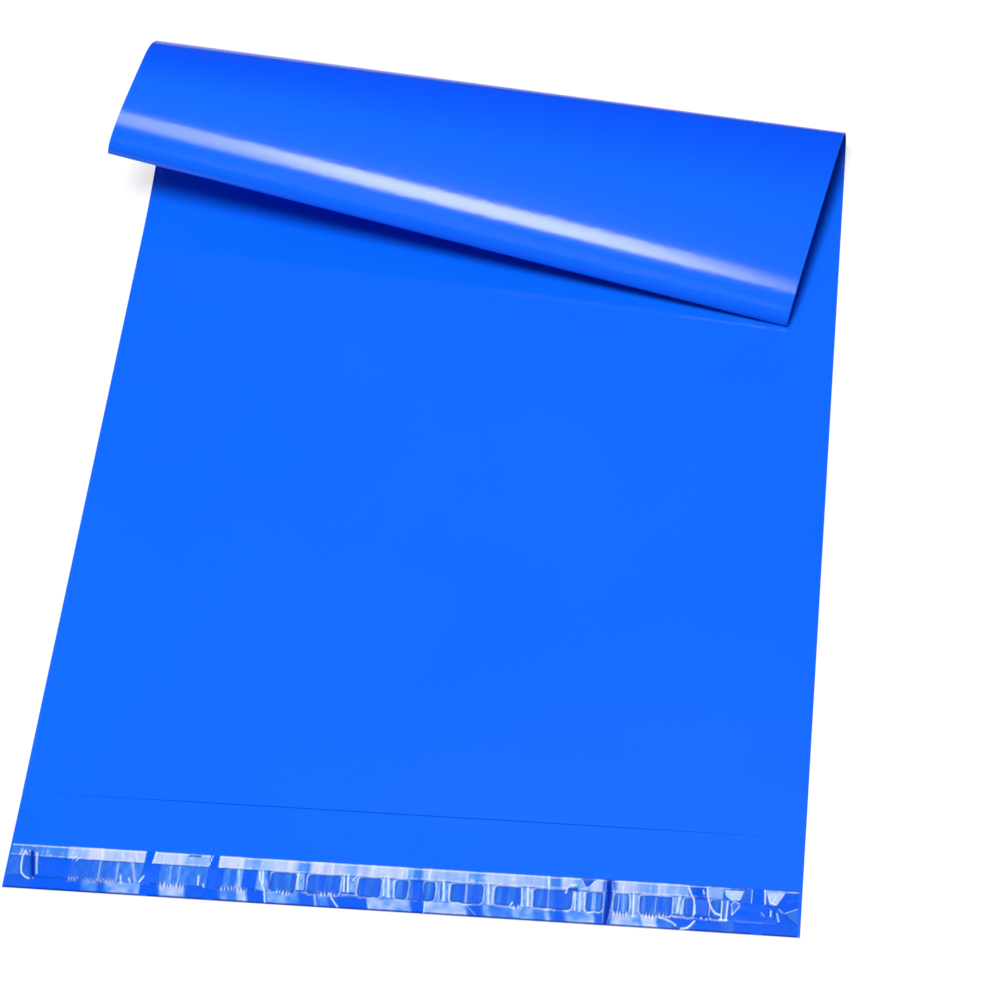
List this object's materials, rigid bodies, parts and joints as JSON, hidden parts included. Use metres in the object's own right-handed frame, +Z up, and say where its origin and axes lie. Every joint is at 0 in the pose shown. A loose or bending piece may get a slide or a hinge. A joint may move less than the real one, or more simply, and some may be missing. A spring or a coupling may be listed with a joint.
{
  "type": "poly mailer bag",
  "caption": "Empty film mailing bag lying flat, with a peel-off liner over the glue on its flap and its closed end curled up and over.",
  "frame": {"origin": "on the underside of the back panel, half way across it and 0.200 m from the flap's free edge", "axes": "+X across the bag, +Y from the flap towards the closed end, +Z up, out of the front face"},
  "size_m": [0.3447, 0.4379, 0.0451],
  "materials": {
    "blue_film": "smooth glossy blue polyethylene film",
    "hot_melt_glue": "clear tacky hot-melt glue, blue from the film under it",
    "clear_liner": "clear glossy release film"
  },
  "bodies": {
    "root": {"bag_film": "blue_film", "adhesive_strip": "hot_melt_glue", "release_liner": "clear_liner"}
  },
  "joints": []
}
